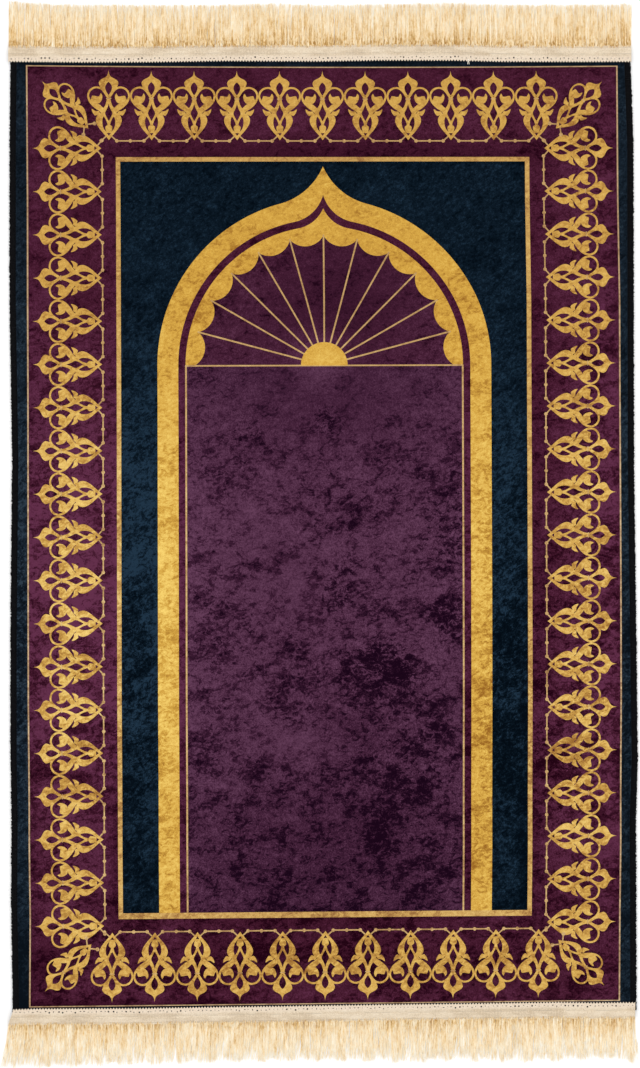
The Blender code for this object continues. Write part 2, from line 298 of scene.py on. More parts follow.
# Places where the pile lies otherwise: x, y, reach across, reach along, how much it
# stands up (+) or is crushed (-), and how much lighter (+) or darker (-) it reads
NAP_PATCHES = (
    # the upper part, where the cloth is smoother
    (0, 330, 370, 150, 0.04, -0.04), (0, 350, 240, 70, 0, -0.06),
    # the purple field
    (70, -148, 38, 30, -0.1, 0), (141, -96, 18, 22, -0.1, 0),
    (16, -60, 13, 22, -0.1, 0), (6, 126, 13, 15, -0.11, 0),
    (-86, 120, 20, 16, -0.06, 0), (140, 0, 28, 45, -0.05, 0),
    (100, -253, 62, 50, -0.05, -0.06), (-24, -62, 32, 45, 0.05, 0.04),
    (-30, -236, 50, 18, 0.05, 0.06), (-80, 5, 50, 60, 0.03, 0.02),
    (0, -390, 160, 60, -0.01, -0.2), (60, -330, 60, 40, -0.02, -0.09),
    (-140, -80, 40, 170, 0, 0.1), (40, -218, 45, 40, 0, -0.14),
    (0, -310, 150, 40, 0, -0.1), (0, 150, 150, 60, 0.05, -0.13),
    # the fan, and the gold above it
    (0, 250, 130, 60, 0.02, -0.18), (0, 205, 32, 28, 0.08, 0.3),
    (30, 275, 60, 60, 0.03, -0.14),
    # the navy panels and margins
    (-205, 20, 34, 190, 0, 0.28), (205, 30, 34, 170, 0, 0.18),
    (-207, -150, 26, 190, -0.08, 0.21), (207, -150, 26, 190, -0.08, 0.2),
    (-345, 400, 14, 60, 0, -0.15), (-345, -480, 14, 60, 0, -0.35),
    (348, 330, 14, 160, 0, -0.22), (-345, -60, 14, 110, -0.08, 0.3),
    (-345, -210, 14, 60, -0.08, 0.04), (348, -240, 14, 220, -0.06, -0.08),
    (-345, 480, 14, 50, 0, -0.12),
    # the frame band
    (-231, -55, 6, 110, 0, 0.35), (-231, -370, 6, 80, 0, -0.27),
    (231, -375, 6, 80, 0, -0.32), (0, 424, 300, 5, 0, -0.25),
    # the legs of the gold arch, with the stripes beside them
    (-176, -100, 13, 180, 0, 0.45), (176, -240, 13, 170, 0, -0.25),
    (168, -30, 14, 60, 0, 0.15), (-162, -200, 12, 60, 0, 0.1),
    (-165, -385, 14, 50, 0, 0.25),
    # the border
    (-290, 0, 50, 420, 0, 0.07), (-280, -110, 50, 190, -0.05, 0.34),
    (-262, -110, 26, 170, 0, 0.12),
    (-285, 350, 50, 90, 0.02, -0.17), (-265, 260, 45, 45, 0, -0.12),
    (-320, 20, 20, 120, 0, 0.12), (-315, -490, 30, 50, 0, -0.2),
    (245, 0, 22, 420, 0, -0.22), (312, -10, 22, 220, -0.04, 0.2),
    (278, -240, 50, 110, -0.05, 0.18), (330, -60, 14, 300, 0, 0.12),
    (0, 436, 330, 16, 0.03, -0.22), (0, 505, 330, 40, 0.05, -0.2),
    (-20, 490, 70, 30, 0, 0.12), (0, -480, 330, 40, 0, -0.24),
    (0, -427, 200, 8, 0, -0.2),
)
# The pile is painted darker before each tape, as painted shadow of the tape, and the
# gold deepens towards the top: where that starts, over what distance, and by how much
PAINTED_TAPE_SHADOW = (526.0, 5.0, 0.6)
GOLD_SHADE = (60.0, 200.0, 0.3)


# ------ outline tables


def read_table(place, rows, column):
    """Straight lines through a table's values, carried on past its ends."""
    places = np.array([row[0] for row in rows], float)
    values = np.array([row[column] for row in rows], float)
    last = np.clip(np.searchsorted(places, place) - 1, 0, len(places) - 2)
    share = (place - places[last]) / (places[last + 1] - places[last])
    return values[last] + (values[last + 1] - values[last]) * share


def edge_out(side, y):
    """How far a long edge stands outside half the width at y."""
    return np.where(side < 0, -read_table(y, EDGE_ROWS, 1), read_table(y, EDGE_ROWS, 2))


def inner_edge(name, x):
    """How far the tape's inner edge is from the middle of the rug at x."""
    return read_table(x, ENDS[name].edge, 1)


def flared(name, x, out):
    """Where a place along the tape comes to lie, out from the tape's inner edge."""
    near = np.exp((ENDS[name].left - x) / FLARE_REACH)
    return x - ENDS[name].flare * near * np.minimum(out, TAPE_WIDTH)


def cloth_end(y, x):
    """How far the cloth's end is from the middle of the rug at x, under its tape."""
    top, bottom = inner_edge("top", x), inner_edge("bottom", x)
    return np.where(y > 0, top, bottom) + TAPE_OVERLAP


def lay_outline(x, y):
    """Takes points of the straight cloth to the rug's uneven outline."""
    y = y * cloth_end(y, x) / HALF_LENGTH
    x = x + edge_out(x, y) * np.minimum(np.abs(x) / PILE_EDGE, 1.0)
    return x, y


def lay_print(x, y):
    """Takes points of the flat print to where they lie on the rug."""
    line_x = OUTER_LINE_X[-1] + OUTER_LINE_WIDTH
    line_top = OUTER_LINE_TOP + OUTER_LINE_WIDTH
    line_bottom = OUTER_LINE_BOTTOM - OUTER_LINE_WIDTH
    inner_x = np.clip(x, -line_x, line_x)
    inner_y = np.clip(y, line_bottom, line_top)
    shift, stretch, rise = (read_table(inner_y, LAY_ROWS, c) for c in (1, 2, 3))
    laid_x = inner_x * stretch + shift
    bow = np.clip((inner_y - BOW_START) / (OUTER_LINE_TOP - BOW_START), 0, None)
    laid_y = inner_y + inner_x * rise + TOP_LINE_BOW * bow * (inner_x / line_x) ** 2
    _, edge_y = lay_outline(x, np.where(y > 0, HALF_LENGTH, -HALF_LENGTH))
    past_y = np.abs(y - inner_y) / np.where(
        y > 0, HALF_LENGTH - line_top, HALF_LENGTH + line_bottom
    )
    laid_y = laid_y + (edge_y - laid_y) * past_y
    side_x = np.sign(x) * PILE_EDGE + edge_out(x, laid_y)
    past_x = np.abs(x - inner_x) / (PILE_EDGE - line_x)
    return laid_x + (side_x - laid_x) * past_x, laid_y


# ------ mesh helpers


def add_object(name, data):
    """A new object in the scene, at the origin."""
    added = bpy.data.objects.new(name, data)
    bpy.context.scene.collection.objects.link(added)
    return added


def mesh_of(shape, name):
    """The mesh of a finished shape, which is freed."""
    mesh = bpy.data.meshes.new(name)
    shape.to_mesh(mesh)
    shape.free()
    return mesh


def finish_piece(name, mesh, material, nodes):
    """Turns a mesh in millimetres into a piece of the rug."""
    mesh.transform(((MM, 0, 0, 0), (0, MM, 0, 0), (0, 0, MM, 0), (0, 0, 0, 1)))
    mesh.materials.append(material)
    piece = add_object(name, mesh)
    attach(piece, "root")
    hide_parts(*nodes)


def thicken(shape, foot_of):
    """Gives a sheet a wall down to each vertex's foot and faces that point outwards."""
    made = bmesh.ops.extrude_face_region(shape, geom=shape.faces[:])["geom"]
    for vertex in made:
        if isinstance(vertex, bmesh.types.BMVert):
            vertex.co.z = foot_of(vertex)
    bmesh.ops.recalc_face_normals(shape, faces=shape.faces[:])


def write_attribute(mesh, name, values, domain="POINT"):
    """Writes one number for each point or face, for the materials to read."""
    layer = mesh.attributes.new(name, "FLOAT", domain)
    layer.data.foreach_set("value", np.asarray(values, np.float32).ravel())


def strand_mesh(name, sides, centres, radii, sideways, flat=1.0):
    """Tubes of a few sides: centres is strands by rings by 3, radii strands by rings."""
    count, rings = centres.shape[:2]
    shape = bmesh.new()
    bmesh.ops.create_cone(
        shape, cap_ends=True, segments=sides, radius1=1, radius2=1, depth=1
    )
    for ring in range(1, rings - 1):
        bmesh.ops.bisect_plane(
            shape,
            geom=shape.verts[:] + shape.edges[:] + shape.faces[:],
            dist=1e-4,
            plane_co=(0, 0, ring / (rings - 1) - 0.5),
            plane_no=(0, 0, 1),
        )
    one = mesh_of(shape, name)
    holder = add_object(name, one)
    repeat = holder.modifiers.new("repeat", "ARRAY")
    repeat.count = count
    repeat.relative_offset_displace = (0, 0, 0)
    depsgraph = bpy.context.evaluated_depsgraph_get()
    mesh = bpy.data.meshes.new_from_object(holder.evaluated_get(depsgraph))
    corners = np.array([v.co[:] for v in one.vertices])
    bpy.data.objects.remove(holder)
    bpy.data.meshes.remove(one)
    mesh.name = name
    ring_of = np.rint((corners[:, 2] + 0.5) * (rings - 1)).astype(int)
    along = np.gradient(centres, axis=1)
    along /= np.linalg.norm(along, axis=2, keepdims=True)
    side = np.broadcast_to(np.asarray(sideways, float), along.shape)
    side = side - (side * along).sum(2, keepdims=True) * along
    side /= np.linalg.norm(side, axis=2, keepdims=True)
    up = flat * np.cross(along, side)
    points = centres[:, ring_of] + radii[:, ring_of, None] * (
        corners[:, 0, None] * side[:, ring_of] + corners[:, 1, None] * up[:, ring_of]
    )
    mesh.vertices.foreach_set("co", points.astype(np.float32).ravel())
    mesh.polygons.foreach_set("use_smooth", np.full(len(mesh.polygons), sides > 3))
    mesh.update()
    return mesh, ring_of


# ------ the drawing


def curve_through(points, spacing=2.0):
    """A closed outline, smooth between the points that are marked as corners."""
    places = [np.array(point[:2], float) for point in points]
    corners = [index for index, point in enumerate(points) if len(point) > 2]
    outline = []
    for start, stop in zip(corners, corners[1:] + [corners[0] + len(points)]):
        run = np.array([places[i % len(points)] for i in range(start, stop + 1)])
        steps = np.linalg.norm(np.diff(run, axis=0), axis=1)
        if len(run) == 2:
            outline.append(run[0])
            continue
        knots = np.concatenate([[0.0], np.cumsum(steps)])
        slopes = np.empty_like(run)
        slopes[1:-1] = (run[2:] - run[:-2]) / (knots[2:] - knots[:-2])[:, None]
        slopes[0] = 2 * (run[1] - run[0]) / steps[0] - slopes[1]
        slopes[-1] = 2 * (run[-1] - run[-2]) / steps[-1] - slopes[-2]
        for i, step in enumerate(steps):
            pieces = max(1, math.ceil(step / spacing))
            for t in np.arange(pieces) / pieces:
                outline.append(
                    (1 + 2 * t) * (1 - t) ** 2 * run[i]
                    + t * (1 - t) ** 2 * step * slopes[i]
                    + t * t * (3 - 2 * t) * run[i + 1]
                    - t * t * (1 - t) * step * slopes[i + 1]
                )
    return np.array(outline)


def whole_outline(half):
    """The outline of a shape that is drawn on one side of its axis."""
    outline = curve_through(half)
    outline[1:-1, 0] = np.maximum(outline[1:-1, 0], AXIS_GAP)
    return np.concatenate([outline, mirrored(outline[1:-1])[::-1]])


def mirrored(outline):
    return outline * (-1, 1)


def bar(start, stop, width):
    """A thin straight line as an outline."""
    start, stop = np.array(start, float), np.array(stop, float)
    way = (stop - start) / np.linalg.norm(stop - start)
    aside = np.array((-way[1], way[0])) * width / 2
    return np.array([start - aside, stop - aside, stop + aside, start + aside])


def dot(middle, radius, sides=10):
    turns = np.arange(sides) * math.tau / sides
    return np.array(middle) + radius * np.stack([np.cos(turns), np.sin(turns)], 1)


def oblong(left, bottom, right, top):
    return np.array([(left, bottom), (right, bottom), (right, top), (left, top)], float)


def stepped(outline):
    """The same outline with points along its long straight sides, so that they bend."""
    points = []
    for start, stop in zip(outline, np.roll(outline, -1, axis=0)):
        steps = math.ceil(np.linalg.norm(stop - start) / LONGEST_SIDE)
        points += [start + (stop - start) * k / steps for k in range(max(steps, 1))]
    return np.array(points)


def arch_outline(arch, foot, spacing=3.0):
    """An ogee arch on straight legs, from its left foot over its point."""
    radius, middle, height, leave = arch
    turn = math.radians(leave)
    reach = (height**2 - radius**2) / (2 * (height * math.cos(turn) - radius))
    hollow = reach - radius
    hollow_at = np.array((math.sin(turn), math.cos(turn))) * reach
    steps = math.ceil((math.pi / 2 - turn) * radius / spacing)
    round_turns = np.linspace(math.pi / 2, turn, steps + 1)
    right = [(radius * math.sin(t), radius * math.cos(t)) for t in round_turns]
    first = math.atan2(-hollow_at[1] + right[-1][1], right[-1][0] - hollow_at[0])
    last = math.atan2(height - hollow_at[1], -hollow_at[0])
    sweep = (last - first + math.pi) % math.tau - math.pi
    steps = math.ceil(abs(sweep) * hollow / spacing)
    for share in np.arange(1, steps + 1) / steps:
        t = first + sweep * share
        right.append(
            (hollow_at[0] + hollow * math.cos(t), hollow_at[1] + hollow * math.sin(t))
        )
    right[-1] = (0.0, height)
    right = np.array([(radius, foot - middle)] + right)
    whole = np.concatenate([right, mirrored(right[:-1])[::-1]])
    return whole + (0, middle)


def fan_outline():
    """The fan's field: scallops bulge into it between the ends of the rays."""
    step = math.pi / SCALLOPS
    half_chord = CUSP_RADIUS * math.sin(step / 2)
    chord_at = CUSP_RADIUS * math.cos(step / 2)
    bulge = chord_at - SCALLOP_RADIUS
    radius = (half_chord**2 + bulge**2) / (2 * bulge)
    spread = math.asin(half_chord / radius)
    points = []
    for scallop in range(SCALLOPS):
        turn = step * (scallop + 0.5)
        middle = (SCALLOP_RADIUS + radius) * np.array((math.cos(turn), math.sin(turn)))
        for share in np.linspace(-1, 1, 13)[:-1]:
            t = turn + math.pi - share * spread
            points.append(middle + radius * np.array((math.cos(t), math.sin(t))))
    points.append((-CUSP_RADIUS, 0.0))
    return np.array(points) + (0, FAN_Y)


class Print:
    """The print's shapes in the order they are painted, on the flat cloth."""

    def __init__(self):
        self.shapes = []

    def paint(self, colour, zone, outline):
        """Adds a shape on top of all that is painted so far."""
        self.shapes.append((colour, zone, outline))

    def motif(self, place, stretch=None, chain=None, half_pitch=None):
        """One motif of the border: place takes its drawn points to the cloth, and chain
        holds the sides on which its beaded chain goes on. None leaves the chain out."""
        for colour, zone, drawn, part, kind in MOTIF_SHAPES:
            outline = whole_outline(drawn) if kind == HALF else curve_through(drawn)
            outline = outline * ((stretch or {}).get(part, 1.0), 1)
            for each in (outline, mirrored(outline)) if kind == PAIR else (outline,):
                self.paint(colour, zone, place(each))
        for side in (1, -1) if chain is not None else ():
            start = (side * CHAIN_START[0], CHAIN_START[1])
            knee = (side * CHAIN_KNEE, CHAIN_DEPTH)
            self.paint(GOLD, LINE, place(bar(start, knee, CHAIN_WIDTH)))
            self.paint(GOLD, LINE, place(dot(knee, CHAIN_DOT)))
            if side in chain:
                link = (side * half_pitch, CHAIN_DEPTH)
                self.paint(GOLD, LINE, place(bar(knee, link, CHAIN_WIDTH)))
                self.paint(GOLD, LINE, place(dot(link, CHAIN_DOT)))

    def border(self):
        """The motifs along the four sides and at the corners."""
        for count, first, last, tip in (ROW_TOP, ROW_BOTTOM):
            way_in = -1 if tip > 0 else 1
            pitch = (last - first) / (count - 1)
            for k in range(count):
                at = first + pitch * k
                chain = tuple(s for s in (1, -1) if 0 <= k + s < count)
                self.motif(
                    lambda p: np.stack([at + p[:, 0], tip + way_in * p[:, 1]], 1),
                    chain=chain,
                    half_pitch=pitch / 2,
                )
        count, first, last, tip = COLUMN
        pitch = abs(last - first) / (count - 1)
        stretch = pitch / DRAWN_PITCH
        for side in (-1, 1):
            for k in range(count):
                at = first - pitch * k
                chain = tuple(s for s in (1, -1) if 0 <= k - s < count)
                self.motif(
                    lambda p: np.stack([side * (tip - p[:, 1]), at + stretch * p[:, 0]], 1),
                    chain=chain,
                    half_pitch=pitch / 2 / stretch,
                )
        self.corners()

    def corners(self):
        """A motif on each corner's diagonal, with a link of chain on both sides."""
        for side_x in (-1, 1):
            for side_y in (-1, 1):
                corner_x = side_x * OUTER_LINE_X[side_x]
                corner_y = OUTER_LINE_TOP if side_y > 0 else OUTER_LINE_BOTTOM

                def inwards(p):
                    """Distances in from the two outer lines, as a place."""
                    return (corner_x, corner_y) - p * (side_x, side_y)

                def diagonal(p):
                    """A motif's points, laid along the corner's diagonal."""
                    down = CORNER_TIP + p[:, 1] * CORNER_ALONG / math.sqrt(2)
                    across = p[:, 0] / math.sqrt(2)
                    return inwards(np.stack([down + across, down - across], 1))

                self.motif(diagonal, CORNER_ACROSS)
                for start, stop in CORNER_LINKS:
                    self.paint(GOLD, LINE, inwards(bar(start, stop, CHAIN_WIDTH)))
                    self.paint(GOLD, LINE, inwards(dot(stop, CORNER_DOT)))

    def frame_and_arch(self):
        """The whole print, from the margins inwards."""
        line = OUTER_LINE_WIDTH / 2
        sheet = oblong(-PILE_EDGE, -HALF_LENGTH, PILE_EDGE, HALF_LENGTH)
        self.paint(NAVY, MARGIN, sheet)
        for colour, zone, out in ((GOLD, OUTER_LINE, line), (PURPLE, BORDER, -line)):
            left, right = -OUTER_LINE_X[-1] - out, OUTER_LINE_X[1] + out
            end_out = out * OUTER_LINE_THINNING
            low, high = OUTER_LINE_BOTTOM - end_out, OUTER_LINE_TOP + end_out
            self.paint(colour, zone, oblong(left, low, right, high))
        self.border()
        half, foot_half = BAND_WIDTH / 2, BAND_FOOT_WIDTH / 2
        for colour, zone, s in ((GOLD, BAND, 1), (NAVY, PANEL, -1)):
            left, right = -BAND_X[-1] - s * half, BAND_X[1] + s * half
            low, high = BAND_BOTTOM - s * foot_half, BAND_TOP + s * half
            self.paint(colour, zone, oblong(left, low, right, high))
        foot = BAND_BOTTOM + foot_half
        self.paint(GOLD, SOLID, arch_outline(ARCH_OUTER, foot))
        self.paint(PURPLE, BORDER, arch_outline(ARCH_STRIPE, foot))
        self.paint(GOLD, SOLID, arch_outline(ARCH_INNER, FAN_Y))
        half = ARCH_LINE_WIDTH / 2
        outer, inner = ARCH_LINE_X + half, ARCH_LINE_X - half
        self.paint(GOLD, LINE, oblong(-outer, foot, outer, FAN_Y))
        top = FAN_Y - FAN_LINE_WIDTH / 2
        self.paint(PURPLE, FIELD, oblong(-inner, foot, inner, top))
        self.paint(PURPLE, FAN, fan_outline())
        for ray in range(1, SCALLOPS):
            turn = math.pi * ray / SCALLOPS
            way = np.array((math.cos(turn), math.sin(turn)))
            middle = np.array((0, FAN_Y))
            end = middle + way * (CUSP_RADIUS + 1)
            self.paint(GOLD, LINE, bar(middle, end, RAY_WIDTH))
        half = FAN_LINE_WIDTH / 2
        self.paint(GOLD, LINE, oblong(-outer, FAN_Y - half, outer, FAN_Y + half))
        turns = np.linspace(0, math.pi, 25)
        sun = SUN_RADIUS * np.stack([np.cos(turns), np.sin(turns)], 1)
        self.paint(GOLD, SOLID, sun + (0, FAN_Y))

    def arrange(self, grid):
        """Splits the cloth into triangles that each lie in one painted shape."""
        points, faces = [], []
        for _, _, outline in self.shapes:
            x, y = outline.T
            area = (x * np.roll(y, -1) - y * np.roll(x, -1)).sum()
            outline = stepped(outline if area > 0 else outline[::-1])
            faces.append(list(range(len(points), len(points) + len(outline))))
            points += [Vector(p) for p in outline]
        across = np.arange(-PILE_EDGE + grid / 2, PILE_EDGE, grid)
        along = np.arange(-HALF_LENGTH + grid / 2, HALF_LENGTH, grid)
        for row, y in enumerate(along):
            for x in across + grid * (row % 2) / 4:
                points.append(Vector((x, y)))
        made = delaunay_2d_cdt(points, [], faces, 0, 1e-3, True)
        flat = np.array([p[:] for p in made[0]])
        pairs = [(t, max(ids)) for t, ids in zip(made[2], made[5]) if ids]
        triangles = np.array([t for t, _ in pairs])
        shapes = np.array([s for _, s in pairs])
        return flat, triangles, shapes


# ------ materials


def linear(red, green, blue):
    """A colour given as 0 to 255 on screen, as the shader takes it."""
    return tuple(
        c / 12.92 if c <= 0.04045 else ((c + 0.055) / 1.055) ** 2.4
        for c in (red / 255, green / 255, blue / 255)
    )


def change(chosen, usual):
    """What a chosen colour is of the usual one, channel by channel."""
    return tuple(c / u for c, u in zip(chosen, linear(*usual)))


class Finish:
    """A node material, built up step by step."""

    def __init__(self, name, roughness, sheen=0.0, specular=0.5, tint=(1, 1, 1)):
        self.tint = tint
        self.material = bpy.data.materials.new(name)
        self.material.use_nodes = True
        self.tree = self.material.node_tree
        self.shader = self.tree.nodes["Principled BSDF"]
        self.set(self.shader, "Roughness", roughness)
        self.set(self.shader, "Sheen Weight", sheen)
        self.set(self.shader, "Specular IOR Level", specular)

    def set(self, node, socket, value):
        target = node.inputs[socket]
        if isinstance(value, bpy.types.NodeSocket):
            self.tree.links.new(value, target)
        elif isinstance(value, tuple) and len(value) == 3 and target.type == "RGBA":
            target.default_value = (*value, 1.0)
        else:
            target.default_value = value

    def node(self, kind, sockets=None, **settings):
        made = self.tree.nodes.new(kind)
        for key, value in settings.items():
            setattr(made, key, value)
        for socket, value in (sockets or {}).items():
            self.set(made, socket, value)
        return made

    def place(self, finer=(1, 1, 1), turn=0.0):
        """Object coordinates in millimetres, turned and then made finer."""
        sockets = {
            "Vector": self.node("ShaderNodeTexCoord").outputs["Object"],
            "Scale": tuple(MM / f for f in finer),
            "Rotation": (0.0, 0.0, math.radians(turn)),
        }
        made = self.node("ShaderNodeMapping", sockets, vector_type="TEXTURE")
        return made.outputs["Vector"]

    def noise(self, place, size, detail=2.0, roughness=0.5, distortion=0.0):
        """Noise with lumps of about this size in millimetres, from 0 to 1."""
        sockets = {
            "Vector": place, "Scale": 1 / size, "Detail": detail,
            "Roughness": roughness, "Distortion": distortion,
        }
        return self.node("ShaderNodeTexNoise", sockets).outputs["Fac"]

    def ribs(self, place, pitch, way):
        """Ribs this far apart in millimetres, from 0 to 1."""
        sockets = {"Vector": place, "Scale": math.tau / 20 / pitch, "Distortion": 0.6}
        made = self.node("ShaderNodeTexWave", sockets, bands_direction=way)
        return made.outputs["Fac"]

    def attribute(self, name):
        return self.node("ShaderNodeAttribute", attribute_name=name).outputs["Fac"]

    def math(self, operation, *values, clamp=False):
        made = self.node("ShaderNodeMath", operation=operation, use_clamp=clamp)
        for socket, value in enumerate(values):
            self.set(made, socket, value)
        return made.outputs[0]

    def range(self, value, low, high, to_low=0.0, to_high=1.0, smooth=True):
        sockets = {
            "Value": value, "From Min": low, "From Max": high,
            "To Min": to_low, "To Max": to_high,
        }
        kind = "SMOOTHSTEP" if smooth else "LINEAR"
        made = self.node("ShaderNodeMapRange", sockets, interpolation_type=kind)
        return made.outputs["Result"]

    def tinted(self, colour):
        return tuple(c * t for c, t in zip(linear(*colour), self.tint))

    def ramp(self, value, *stops):
        """Colours along a value: (place, (red, green, blue)), 0 to 255."""
        made = self.node("ShaderNodeValToRGB", {"Fac": value})
        points = made.color_ramp.elements
        while len(points) < len(stops):
            points.new(0.5)
        for point, (place, colour) in zip(points, stops):
            point.position = place
            point.color = (*self.tinted(colour), 1.0)
        return made.outputs["Color"]

    def mix(self, share, first, second, blend="MIX"):
        made = self.node("ShaderNodeMix", data_type="RGBA", blend_type=blend)
        self.set(made, 0, share)
        for socket, value in ((6, first), (7, second)):
            self.set(made, socket, value)
        return made.outputs[2]

    def colour(self, value):
        self.set(self.shader, "Base Color", value)

    def bump(self, height, distance, strength=1.0):
        """Bumps as deep as this distance in millimetres."""
        sockets = {"Height": height, "Distance": distance * MM, "Strength": strength}
        made = self.node("ShaderNodeBump", sockets)
        self.set(self.shader, "Normal", made.outputs["Normal"])


def nap_of(finish, lie_of):
    """How the crushed pile reads, from 0, dark, to 1, light, and its fine fibre."""
    brushed = finish.place((1.0, 1.4, 1.0), turn=lie_of["turn"])
    drift = finish.noise(brushed, 85, detail=1)
    strokes = finish.noise(brushed, 30, detail=3, distortion=0.5)
    crush = finish.noise(brushed, 8.5, detail=6, roughness=0.72, distortion=0.8)
    islands = finish.noise(brushed, 8, detail=4, roughness=0.66, distortion=1.3)
    flecks = finish.noise(brushed, 4.0, detail=3, roughness=0.7, distortion=0.4)
    fibre = finish.noise(finish.place((1.0, 0.8, 1.0)), 1.3, detail=2, roughness=0.8)

    lie = finish.math("MULTIPLY_ADD", drift, 0.2, -0.1)
    lie = finish.math("MULTIPLY_ADD", strokes, lie_of["strokes"], lie)
    lie = finish.math("ADD", lie, finish.attribute("nap"))
    lie = finish.math("SUBTRACT", lie, 0.5 * lie_of["strokes"])
    height = finish.math("ADD", crush, lie)
    depth = finish.math("ADD", islands, lie)
    dents = finish.range(height, 0.43, 0.48, -lie_of["dents"], 0)
    cores = finish.range(depth, 0.365, 0.42, -lie_of["cores"], 0)
    even = finish.range(finish.attribute("zone"), 0, 1, lie_of["even"], 1)
    tone = finish.math("MULTIPLY", finish.math("ADD", dents, cores), even)
    mean = 0.0
    for wave, share in ((height, "soft"), (flecks, "flecks"), (fibre, "fibre")):
        tone = finish.math("MULTIPLY_ADD", wave, lie_of[share], tone)
        mean -= 0.5 * lie_of[share]
    contrast = finish.range(finish.attribute("nap"), -0.08, 0.06, 1.4, 0.65, smooth=False)
    tone = finish.math("MULTIPLY", finish.math("ADD", tone, mean), contrast)
    tone = finish.math("MULTIPLY_ADD", finish.attribute("shade"), lie_of["shade"], tone)
    return finish.math("ADD", tone, lie_of["level"], clamp=True), fibre


# How much each cause lightens or darkens a colour of the pile, and how much of the
# dents its first zone keeps
PURPLE_LIE = {
    "turn": 8, "strokes": 0.42, "dents": 0.29, "cores": 0.29, "soft": 1.05,
    "flecks": 0.6, "fibre": 1.3, "level": 0.615, "even": 0.8, "shade": 1.0,
}
NAVY_LIE = {
    "turn": 35, "strokes": 0.3, "dents": 0.16, "cores": 0.10, "soft": 1.6,
    "flecks": 1.6, "fibre": 1.2, "level": 0.46, "even": 1.0, "shade": 1.0,
}
GOLD_LIE = {
    "turn": 12, "strokes": 0.36, "dents": 0.17, "cores": 0.12, "soft": 1.05,
    "flecks": 0.85, "fibre": 0.65, "level": 0.57, "even": 1.0, "shade": 0.4,
}
# Each colour of the pile: its name, how it lies, its usual colour, and the dark,
# usual and light colours of its first and last zones
PILES = {
    NAVY: ("navy", NAVY_LIE, NAVY_COLOUR,
           ((3, 10, 18), NAVY_COLOUR, (30, 49, 66)),
           ((9, 16, 23), (22, 32, 42), (44, 58, 70))),
    PURPLE: ("purple", PURPLE_LIE, PURPLE_COLOUR,
             ((30, 3, 16), PURPLE_COLOUR, (94, 45, 71)),
             ((24, 5, 22), (61, 29, 51), (100, 62, 88))),
    GOLD: ("gold", GOLD_LIE, GOLD_COLOUR,
           ((146, 96, 34), GOLD_COLOUR, (238, 203, 108)),
           ((140, 108, 80), (178, 148, 112), (214, 188, 150))),
}


def velvet(look, name, lie_of, usual, first, last):
    tint = change(getattr(look, name), usual)
    finish = Finish("velvet_" + name, roughness=0.9, sheen=0.04, specular=0.0, tint=tint)
    finish.set(finish.shader, "Sheen Roughness", 0.4)
    tone, fibre = nap_of(finish, lie_of)
    zone = finish.attribute("zone")
    first, last = (finish.ramp(tone, *zip((0.0, 0.5, 1.0), c)) for c in (first, last))
    finish.colour(finish.mix(zone, first, last))
    finish.bump(fibre, 0.35, 0.5)
    return finish.material


def backing_cloth():
    finish = Finish("woven_backing", roughness=0.9)
    place = finish.place()
    weave = finish.noise(place, 0.9, detail=1)
    finish.colour(finish.ramp(weave, (0.3, (24, 26, 32)), (0.7, (44, 46, 54))))
    finish.bump(weave, 0.15, 0.6)
    return finish.material


def overlock_thread(look):
    tint = change(look.overlock, OVERLOCK_COLOUR)
    finish = Finish("overlock_thread", roughness=0.8, specular=0.08, tint=tint)
    twist = finish.noise(finish.place(), 1.2, detail=2)
    finish.colour(finish.ramp(twist, (0.3, (6, 6, 8)), (0.75, OVERLOCK_COLOUR)))
    finish.bump(twist, 0.1, 0.5)
    return finish.material


def tape_cloth(look):
    tint = change(look.tape, TAPE_COLOUR)
    finish = Finish("fringe_tape", roughness=0.8, sheen=0.05, specular=0.2, tint=tint)
    place = finish.place()
    out = finish.attribute("out")
    weave = finish.noise(finish.place((1.3, 1.6, 1)), 1.2, detail=2, roughness=0.7)
    patches = finish.noise(finish.place((0.35, 1, 1)), 4, detail=3)
    areas = finish.noise(finish.place((0.5, 1, 1)), 18, detail=1)
    ribs = finish.math("ADD", finish.ribs(place, 1.7, "X"), finish.ribs(place, 1.5, "Y"))
    ribs = finish.math("MULTIPLY", ribs, finish.range(areas, 0.4, 0.62, 0.08, 0.3))
    tone = finish.math("MULTIPLY_ADD", weave, 1.5, finish.math("MULTIPLY", patches, 0.6))
    tone = finish.math("SUBTRACT", tone, finish.math("ADD", ribs, 0.4))
    colour = finish.ramp(
        tone, (0.15, (191, 170, 142)), (0.5, TAPE_COLOUR), (0.8, (235, 220, 197))
    )
    for middle, half, deep in TAPE_LINES:
        away = finish.math("ABSOLUTE", finish.math("SUBTRACT", out, middle))
        line = finish.range(away, half, 0.2, 0, deep)
        line = finish.math("MULTIPLY", line, finish.range(patches, 0.35, 0.6))
        colour = finish.mix(line, colour, finish.tinted((166, 152, 134)))
    picot = finish.range(out, 7.6, 3.4)
    pale = finish.ramp(weave, (0.25, (208, 188, 165)), (0.75, (240, 224, 203)))
    finish.colour(finish.mix(picot, colour, pale))
    finish.bump(finish.math("ADD", weave, finish.noise(place, 0.6)), 0.25, 0.6)
    return finish.material


# Streaks in the yarn: how fine they are along it, their size across, and how strong
# they are; and what is taken off them, so that they centre on the usual colour
YARN_STREAKS = ((0.4, 9.0, 0.6), (0.13, 2.8, 0.95), (0.28, 1.3, 0.75), (0.55, 1.0, 0.45))
YARN_MIDDLE = 0.955


